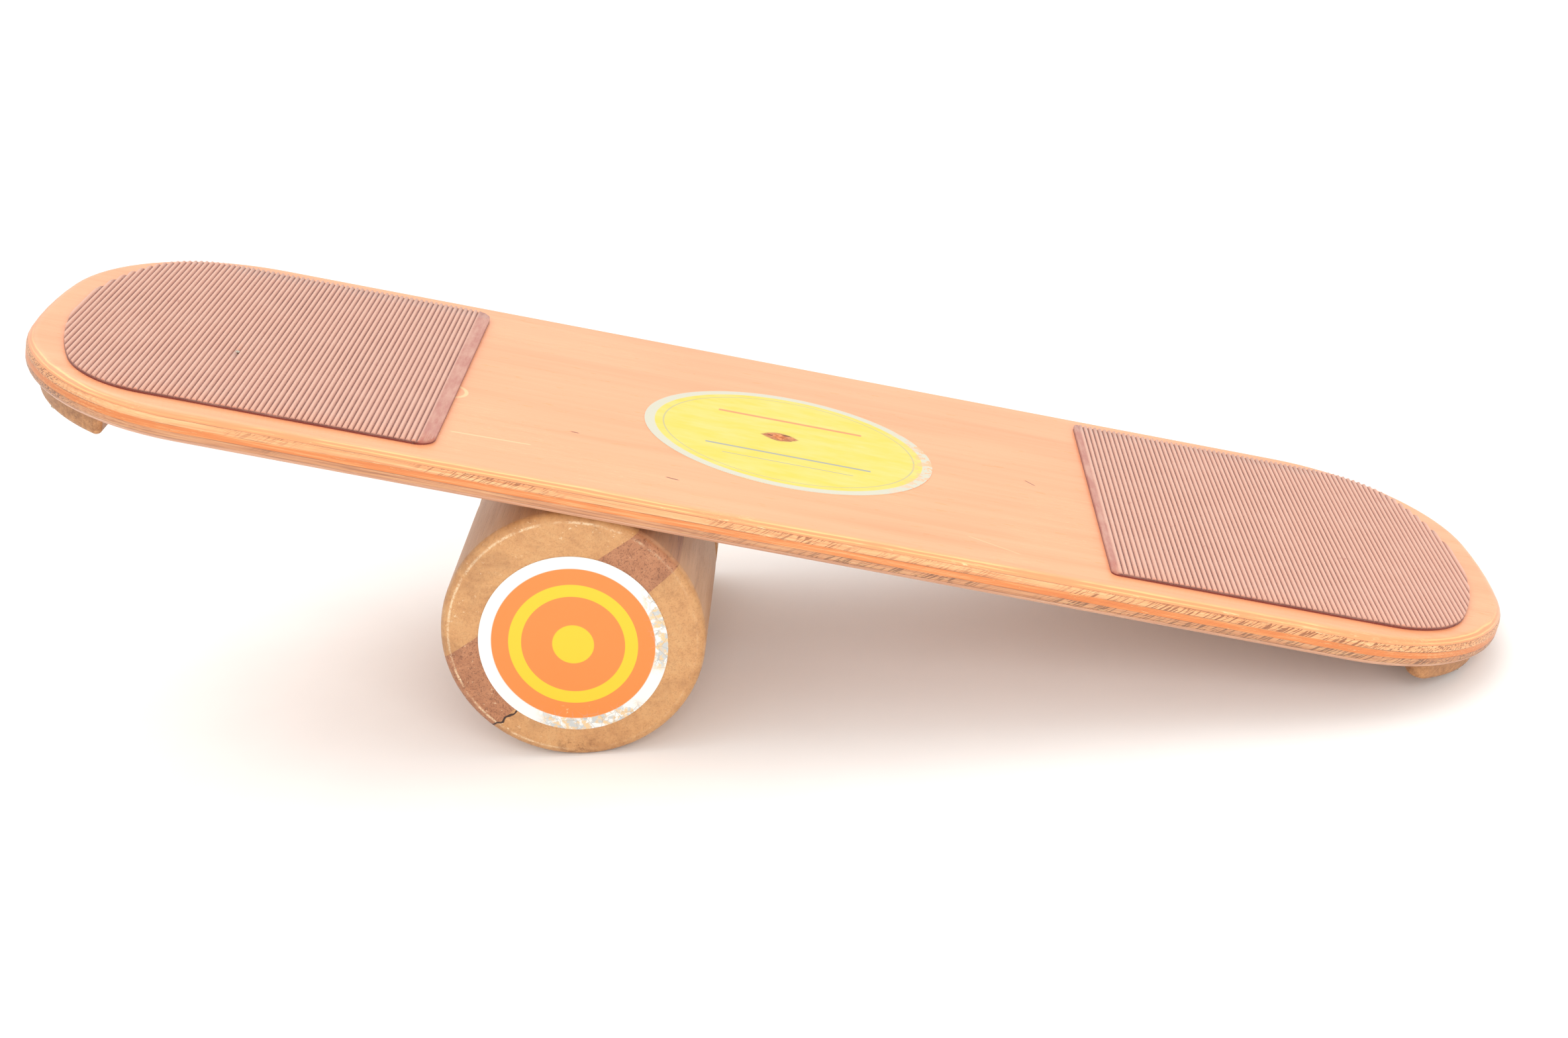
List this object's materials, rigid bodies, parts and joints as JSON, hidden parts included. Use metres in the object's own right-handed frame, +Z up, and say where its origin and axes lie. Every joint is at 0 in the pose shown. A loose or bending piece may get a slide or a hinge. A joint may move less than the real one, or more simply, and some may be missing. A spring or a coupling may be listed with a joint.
{
  "type": "roller balance board",
  "caption": "Rounded plywood balance board with ribbed rubber foot pads, leaning across a grooved wooden roller.",
  "frame": {"origin": "on the floor, under the middle of the whole board's outline as it leans on the roller", "axes": "+X along the board towards the end that touches the floor, +Y across the board away from the side with the pad brad, +Z up"},
  "size_m": [0.7376, 0.241, 0.2189],
  "materials": {
    "varnished_face": "clear varnish over an orange-tan face veneer, worn pale along the edges",
    "crossband_wood": "end grain under thin varnish",
    "core_wood": "long grain under thin varnish",
    "varnished_back": "thin varnish on a pinkish back veneer",
    "oval_decal": "printed transfer with a pale border, flaking",
    "ribbed_rubber": "dull, fine ribs across the board",
    "screw_steel": "plain steel",
    "rail_wood": "thin varnish",
    "stop_wood": "thin varnish",
    "light_roller_wood": "worn varnish",
    "dark_roller_wood": "worn varnish, open pores",
    "round_label": "printed paper disc under varnish, scuffed"
  },
  "bodies": {
    "roller": {"roller_upper_plank": "light_roller_wood", "roller_middle_plank": "dark_roller_wood", "roller_lower_plank": "light_roller_wood", "roller_front_label": "round_label", "roller_back_label": "round_label"},
    "deck": {"deck_top_veneer": "varnished_face", "deck_upper_crossband": "crossband_wood", "deck_core": "core_wood", "deck_lower_crossband": "crossband_wood", "deck_bottom_veneer": "varnished_back", "deck_decal": "oval_decal", "pad_left": "ribbed_rubber", "pad_right": "ribbed_rubber", "pad_brad": "screw_steel", "guide_rail": "rail_wood", "stop_left": "stop_wood", "stop_right": "stop_wood", "rail_screws": "screw_steel", "stop_left_screws": "screw_steel", "stop_right_screws": "screw_steel"}
  },
  "joints": [
    {"name": "rock", "type": "hinge", "parent": "roller", "child": "deck", "pos_m": [-0.10061, 0, 0.065], "axis": [0, -1, 0], "range_deg": [0, 38.6]}
  ]
}
